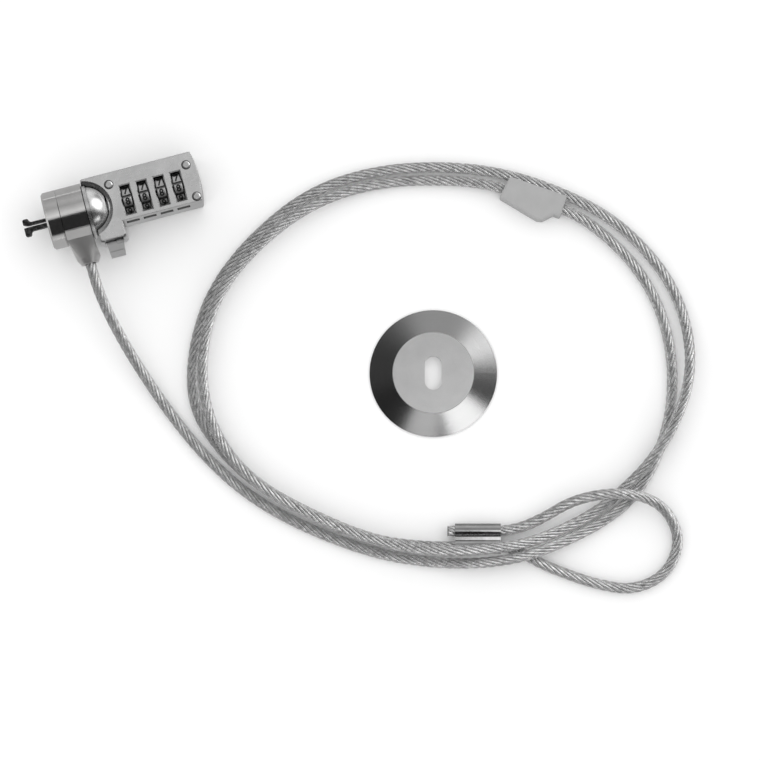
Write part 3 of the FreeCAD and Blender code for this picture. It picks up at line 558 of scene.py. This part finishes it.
cable = {
    "radius": 2.0,
    "exit": (11.25, -18.6, 0.0),
    "length": 1.366,
    "steps": 24,
    "bevelSteps": 4,
    "strands": 8,
    "strandRadius": 0.53,
    "laidAt": 1.38,
    "coreRadius": 0.84,
    "lay": 25.0,
    "lean": 1.05,
    "sides": 8,
}
# x, y and the height above the table, in millimetres
cableRoute = [
    (11.2, -10.4, 10.5), (11.25, -18.6, 10.5), (11.5, -29.0, 10.2), (13.8, -42.0, 7.4),
    (18.4, -58.5, 4.0), (25.4, -78.0, 2.0), (34.2, -97.2, 2.0), (46.5, -115.2, 2.0),
    (63.0, -130.6, 2.0), (84.0, -145.3, 2.0), (103.5, -153.8, 2.4), (119.0, -158.2, 6.4),
    (131.0, -159.8, 6.6), (142.5, -159.5, 6.3), (154.0, -157.6, 3.4), (166.0, -154.8, 2.0),
    (178.0, -149.8, 2.0), (189.3, -139.4, 2.0), (199.3, -124.6, 2.0), (205.2, -106.5, 2.0),
    (206.4, -87.0, 2.0), (202.0, -69.0, 2.0), (193.5, -54.2, 2.5), (184.0, -43.2, 3.4),
    (161.0, -27.6, 3.4), (145.0, -20.9, 2.3), (121.0, -15.2, 2.0), (97.0, -16.0, 4.4),
    (74.5, -24.4, 6.3), (53.2, -38.8, 6.3), (42.0, -58.0, 6.3), (37.8, -78.5, 6.3),
    (41.3, -97.2, 6.3), (50.5, -112.2, 6.3), (65.3, -126.4, 6.3), (85.0, -141.2, 6.3),
    (103.5, -149.8, 8.0), (120.5, -153.8, 8.0), (136.0, -155.8, 7.2), (150.0, -154.1, 3.6),
    (163.5, -151.1, 2.0), (175.5, -145.8, 2.9), (187.6, -138.8, 6.6), (200.2, -127.4, 6.5),
    (210.0, -112.3, 6.3), (213.8, -95.0, 2.8), (212.3, -78.0, 2.0), (206.4, -63.2, 2.0),
    (197.3, -49.0, 2.0), (184.0, -36.6, 2.0), (166.0, -24.3, 2.0), (146.0, -16.0, 2.0),
    (121.0, -10.6, 2.0), (96.0, -11.6, 2.0), (72.6, -21.4, 2.0), (51.8, -36.6, 2.0),
    (39.6, -55.3, 2.0), (33.6, -75.0, 2.0), (37.8, -91.8, 2.0), (48.0, -109.2, 2.0),
    (64.5, -125.1, 2.0), (84.0, -140.0, 2.0), (100.5, -146.8, 2.6), (112.2, -149.9, 2.8),
    (132.0, -155.1, 2.8), (139.5, -162.9, 2.0), (148.5, -169.7, 2.0), (158.5, -176.2, 2.0),
    (170.3, -181.4, 2.0), (183.4, -178.8, 2.0), (191.2, -168.3, 2.0), (189.3, -156.5, 3.6),
    (181.5, -149.2, 7.2), (169.5, -145.4, 7.3), (156.5, -144.8, 5.4), (144.5, -148.4, 3.4),
    (133.2, -149.65, 2.8), (120.4, -146.3, 2.8), (111.0, -143.8, 2.8),
]


def routeCurve(name, bevel):
    data = bpy.data.curves.new(name, "CURVE")
    data.dimensions = "3D"
    spline = data.splines.new("NURBS")
    spline.points.add(len(cableRoute) - 1)
    for point, (x, y, lift) in zip(spline.points, cableRoute):
        point.co = (x * mm, y * mm, tableTop + lift * mm, 1)
    spline.order_u = 3
    spline.use_endpoint_u = True
    spline.resolution_u = cable["steps"]
    data.resolution_u = cable["steps"]
    data.bevel_depth = bevel
    data.bevel_resolution = cable["bevelSteps"]
    data.use_fill_caps = bevel > 0
    made = bpy.data.objects.new(name, data)
    scene.collection.objects.link(made)
    return made


def centreLine():
    # the points of the route's own smooth line, read from a bare copy of it
    bare = routeCurve("cableLine", 0.0)
    bpy.context.view_layer.update()
    mesh = bpy.data.meshes.new_from_object(bare.evaluated_get(bpy.context.evaluated_depsgraph_get()))
    points = [v.co.copy() for v in mesh.vertices]
    bpy.data.objects.remove(bare)
    bpy.data.meshes.remove(mesh)
    x, y, lift = cableRoute[0]
    start = Vector((x * mm, y * mm, tableTop + lift * mm))
    if (points[0] - start).length > (points[-1] - start).length:
        points.reverse()
    return points


def carriedFrames(points):
    # tangent and side at each point, the side carried along without twist
    frames = []
    side = None
    for i, point in enumerate(points):
        ahead = points[min(i + 1, len(points) - 1)] - points[max(i - 1, 0)]
        ahead.normalize()
        if side is None:
            side = ahead.orthogonal()
        side = (side - ahead * side.dot(ahead)).normalized()
        frames.append((point, side.copy(), ahead.cross(side)))
    return frames


def strandMesh(values, frames, runs):
    # the strands wound round a straight core, with a map of turn and run for their wires
    verts, faces, corners = [], [], []
    count, strandCount = values["sides"], values["strands"]
    outer = (values["laidAt"], values["strandRadius"])
    wound = [(k / strandCount, *outer) for k in range(strandCount)]
    wound.append((0.0, 0.0, values["coreRadius"]))
    for phase, reach, thick in wound:
        first = len(verts)
        for (point, side, other), run in zip(frames, runs):
            angle = 2 * math.pi * (phase + run / values["lay"])
            outward = side * math.cos(angle) + other * math.sin(angle)
            along = other * math.cos(angle) - side * math.sin(angle)
            middle = point + outward * reach * mm
            for k in range(count):
                turn = 2 * math.pi * k / count
                reachOut = outward * math.cos(turn) * thick
                reachRound = along * math.sin(turn) * thick * (values["lean"] if reach else 1.0)
                verts.append(middle + (reachOut + reachRound) * mm)
        rings = len(frames)
        for i in range(rings - 1):
            for k in range(count):
                here, there = first + i * count, first + (i + 1) * count
                after = (k + 1) % count
                faces.append((here + k, here + after, there + after, there + k))
                low, high = k / count, (k + 1) / count
                corners += [(low, runs[i]), (high, runs[i]), (high, runs[i + 1]), (low, runs[i + 1])]
        for ring, order in ((0, -1), (rings - 1, 1)):
            cap = [first + ring * count + k for k in range(count)][::order]
            faces.append(cap)
            # half a turn round, where the painted shade between the strands is darkest
            corners += [(0.5, runs[ring])] * count
    mesh = bpy.data.meshes.new("cableStrands")
    mesh.from_pydata(verts, [], faces)
    layer = mesh.uv_layers.new(name="wires")
    layer.data.foreach_set("uv", [value for corner in corners for value in corner])
    mesh.polygons.foreach_set("use_smooth", [len(face) == 4 for face in faces])
    mesh.update()
    return mesh


sleeve = routeCurve("cableSleeve", cable["radius"] * mm)
sleeve.data.materials.append(clearSleeve(sleeveFinish))
centre = centreLine()
runs = [0.0]
for a, b in zip(centre, centre[1:]):
    runs.append(runs[-1] + (b - a).length / mm)
strands = bpy.data.objects.new("cableStrands", strandMesh(cable, carriedFrames(centre), runs))
strands.data.materials.append(wireRope(wireFinish))
scene.collection.objects.link(strands)
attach(sleeve, "cable")
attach(strands, "cable")
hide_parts("security_cable")
print("cable laid:", round(runs[-1], 1), "mm along its line")


# the dials' digits, inked into each face


digits = {
    "faces": 10,
    "first": 8,
    "turned": 10.0,
    "radius": 6.3,
    "proud": 0.02,
    "high": 2.6,
    "wide": 0.95,
    "typeSize": 1.35,
    "bold": 0.12,
    "curveSteps": 3,
    "bands": 12,
}


def cutIntoBands(flat):
    # narrow bands across a digit, so that it can follow the round face
    shape = bmesh.new()
    shape.from_mesh(flat)
    bands = digits["bands"]
    for i in range(bands + 1):
        height = digits["high"] * (i / bands - 0.5)
        everything = shape.verts[:] + shape.edges[:] + shape.faces[:]
        bmesh.ops.bisect_plane(shape, geom=everything, plane_co=(0, height, 0), plane_no=(0, 1, 0))
    shape.to_mesh(flat)
    shape.free()


def digitMesh(n, low, high):
    # one digit on each of a dial's faces, bent round the dial's axis
    middle = (low + high) / 2
    reach = (digits["radius"] + digits["proud"]) * mm
    verts, faces = [], []
    for k in range(digits["faces"]):
        data = bpy.data.curves.new("digit", "FONT")
        data.body = str((digits["first"] + k) % digits["faces"])
        data.align_x = "CENTER"
        data.align_y = "CENTER"
        data.size = digits["high"] * digits["typeSize"]
        data.offset = digits["bold"]
        data.resolution_u = digits["curveSteps"]
        text = bpy.data.objects.new("digit", data)
        scene.collection.objects.link(text)
        bpy.context.view_layer.update()
        flat = bpy.data.meshes.new_from_object(text.evaluated_get(bpy.context.evaluated_depsgraph_get()))
        bpy.data.objects.remove(text)
        cutIntoBands(flat)
        face = math.radians(-360 / digits["faces"] * k - digits["turned"])
        first = len(verts)
        for v in flat.vertices:
            angle = face + v.co.y / digits["radius"]
            across = middle.x + v.co.x * digits["wide"] * mm
            verts.append((across, reach * math.sin(angle), reach * math.cos(angle)))
        faces += [[first + i for i in polygon.vertices] for polygon in flat.polygons]
        bpy.data.meshes.remove(flat)
    mesh = bpy.data.meshes.new(f"dialDigits{n}")
    mesh.from_pydata(verts, [], faces)
    mesh.update()
    return mesh


ink = inkBlack(inkFinish)
for n in dialNumbers:
    piece = bpy.data.objects.new(f"dialDigits{n}", digitMesh(n, *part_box(f"dial_{n}")))
    piece.data.materials.append(ink)
    scene.collection.objects.link(piece)
    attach(piece, f"dial_{n}")
print("digits inked")


# floor, light and the cards that the polished parts reflect


studio = {
    "floorGrey": (0.966, 0.97),
    "floorSize": 6.0,
    "floorClouds": 3.0,
    "floorSockets": {"specular": 0.1, "rough": 0.9},
    "evenLight": 1.12,
    "seenSky": 1.0,
    # how bright the sky is across and along the view, as shiny surfaces see it: (lean, level)
    "across": (
        (-1.0, 0.25), (-0.62, 0.05), (-0.46, 0.06), (-0.3, 0.35), (-0.15, 1.0),
        (0.36, 0.9), (0.5, 0.14), (0.7, 0.12), (0.88, 1.0),
    ),
    "along": (
        (-1.0, 0.7), (-0.95, 0.5), (-0.9, 0.02), (-0.1, 0.02), (-0.02, 0.6),
        (0.1, 0.8), (0.35, 0.6), (0.6, 0.48), (0.85, 0.9),
    ),
    "softbox": (0.79, 0.27, 0.55),
    "softboxStops": ((-1.0, 0.0), (0.905, 0.0), (0.965, 1.0), (1.0, 1.0)),
    "softboxLevel": 2.3,
}


def makeFloor(values):
    half = values["floorSize"] / 2
    mesh = bpy.data.meshes.new("floor")
    corners = [(-half, -half), (half, -half), (half, half), (-half, half)]
    mesh.from_pydata([(x, y, tableTop) for x, y in corners], [], [(0, 1, 2, 3)])
    floor = bpy.data.objects.new("floor", mesh)
    finish = Finish("floorPale", **values["floorSockets"])
    ends = [grey(level) for level in values["floorGrey"]]
    finish.colour(finish.ramp(finish.noise(values["floorClouds"]), *ends))
    floor.data.materials.append(finish.material)
    scene.collection.objects.link(floor)


def skyRamp(tree, direction, axis, stops):
    # a ramp of greys over how far a direction leans along an axis, from -1 to 1
    lean = tree.nodes.new("ShaderNodeVectorMath")
    lean.operation = "DOT_PRODUCT"
    lean.inputs[1].default_value = axis
    tree.links.new(direction, lean.inputs[0])
    share = tree.nodes.new("ShaderNodeMapRange")
    share.inputs["From Min"].default_value = -1
    tree.links.new(lean.outputs["Value"], share.inputs["Value"])
    ramp = tree.nodes.new("ShaderNodeValToRGB")
    tree.links.new(share.outputs[0], ramp.inputs["Fac"])
    elements = ramp.color_ramp.elements
    first, last = stops[0], stops[-1]
    elements[0].position, elements[1].position = (first[0] + 1) / 2, (last[0] + 1) / 2
    elements[0].color, elements[1].color = (*grey(first[1]), 1), (*grey(last[1]), 1)
    for spot, level in stops[1:-1]:
        elements.new((spot + 1) / 2).color = (*grey(level), 1)
    return ramp.outputs["Color"]


def makeSky(values):
    # shiny surfaces see dark flags and light gaps, and the rest is lit by an even white sky
    world = bpy.data.worlds.new("studio")
    world.use_nodes = True
    scene.world = world
    tree = world.node_tree
    link = tree.links.new
    even = tree.nodes["Background"]
    place = tree.nodes.new("ShaderNodeTexCoord").outputs["Generated"]
    right = Vector((*view["right"], 0)).normalized()
    across = skyRamp(tree, place, right, values["across"])
    along = skyRamp(tree, place, Vector((-right.y, right.x, 0)), values["along"])
    both = tree.nodes.new("ShaderNodeVectorMath")
    both.operation = "MULTIPLY"
    link(across, both.inputs[0])
    link(along, both.inputs[1])
    softbox = skyRamp(tree, place, Vector(values["softbox"]).normalized(), values["softboxStops"])
    lit = tree.nodes.new("ShaderNodeVectorMath")
    lit.operation = "MULTIPLY_ADD"
    link(softbox, lit.inputs[0])
    lit.inputs[1].default_value = [values["softboxLevel"]] * 3
    link(both.outputs[0], lit.inputs[2])
    flags = tree.nodes.new("ShaderNodeBackground")
    link(lit.outputs[0], flags.inputs["Color"])
    path = tree.nodes.new("ShaderNodeLightPath")
    mixed = tree.nodes.new("ShaderNodeMixShader")
    shown = tree.nodes.new("ShaderNodeMixShader")
    seen = tree.nodes.new("ShaderNodeBackground")
    even.inputs["Color"].default_value = (1, 1, 1, 1)
    even.inputs["Strength"].default_value = values["evenLight"]
    seen.inputs["Strength"].default_value = values["seenSky"]
    link(path.outputs["Is Glossy Ray"], mixed.inputs[0])
    link(even.outputs[0], mixed.inputs[1])
    link(flags.outputs[0], mixed.inputs[2])
    link(path.outputs["Is Camera Ray"], shown.inputs[0])
    link(mixed.outputs[0], shown.inputs[1])
    link(seen.outputs[0], shown.inputs[2])
    link(shown.outputs[0], tree.nodes["World Output"].inputs["Surface"])


def card(name, middle, facing, wide, high, level):
    # a plane that only shiny surfaces see, turned to face a point
    spot, aim = Vector(middle) * mm, Vector(facing) * mm
    turn = (aim - spot).to_track_quat("Z", "Y").to_matrix().to_4x4()
    mesh = bpy.data.meshes.new(name)
    x, y = wide * mm / 2, high * mm / 2
    mesh.from_pydata([(-x, -y, 0), (x, -y, 0), (x, y, 0), (-x, y, 0)], [], [(0, 1, 2, 3)])
    made = bpy.data.objects.new(name, mesh)
    made.matrix_world = Matrix.Translation(spot) @ turn
    material = bpy.data.materials.new(name)
    material.use_nodes = True
    tree = material.node_tree
    tree.nodes.remove(tree.nodes["Principled BSDF"])
    glow = tree.nodes.new("ShaderNodeEmission")
    glow.inputs["Color"].default_value = (1, 1, 1, 1)
    glow.inputs["Strength"].default_value = level
    tree.links.new(glow.outputs[0], tree.nodes["Material Output"].inputs["Surface"])
    mesh.materials.append(material)
    scene.collection.objects.link(made)
    made.visible_camera = False
    made.visible_diffuse = False
    made.visible_shadow = False
    made.visible_transmission = False
    made.visible_volume_scatter = False


# two cards for the disc, and one just above the floor, so that polished parts mirror a grey table
cardLift = 0.05
cards = {
    "discGlow": {
        "middle": (152, -149, 92),
        "facing": (127, -99, -8),
        "wide": 60,
        "high": 50,
        "level": 2.0,
    },
    "discLow": {
        "middle": (92.5, -144, 90),
        "facing": (112.7, -104.6, -8),
        "wide": 46,
        "high": 40,
        "level": 0.9,
    },
    "tableGrey": {
        "middle": (100, -90, tableTop / mm + cardLift),
        "facing": (100, -90, 100),
        "wide": 900,
        "high": 900,
        "level": 0.45,
    },
}


makeFloor(studio)
makeSky(studio)
for name, values in cards.items():
    card(name, **values)
scene.view_settings.view_transform = "Standard"
print("studio set")
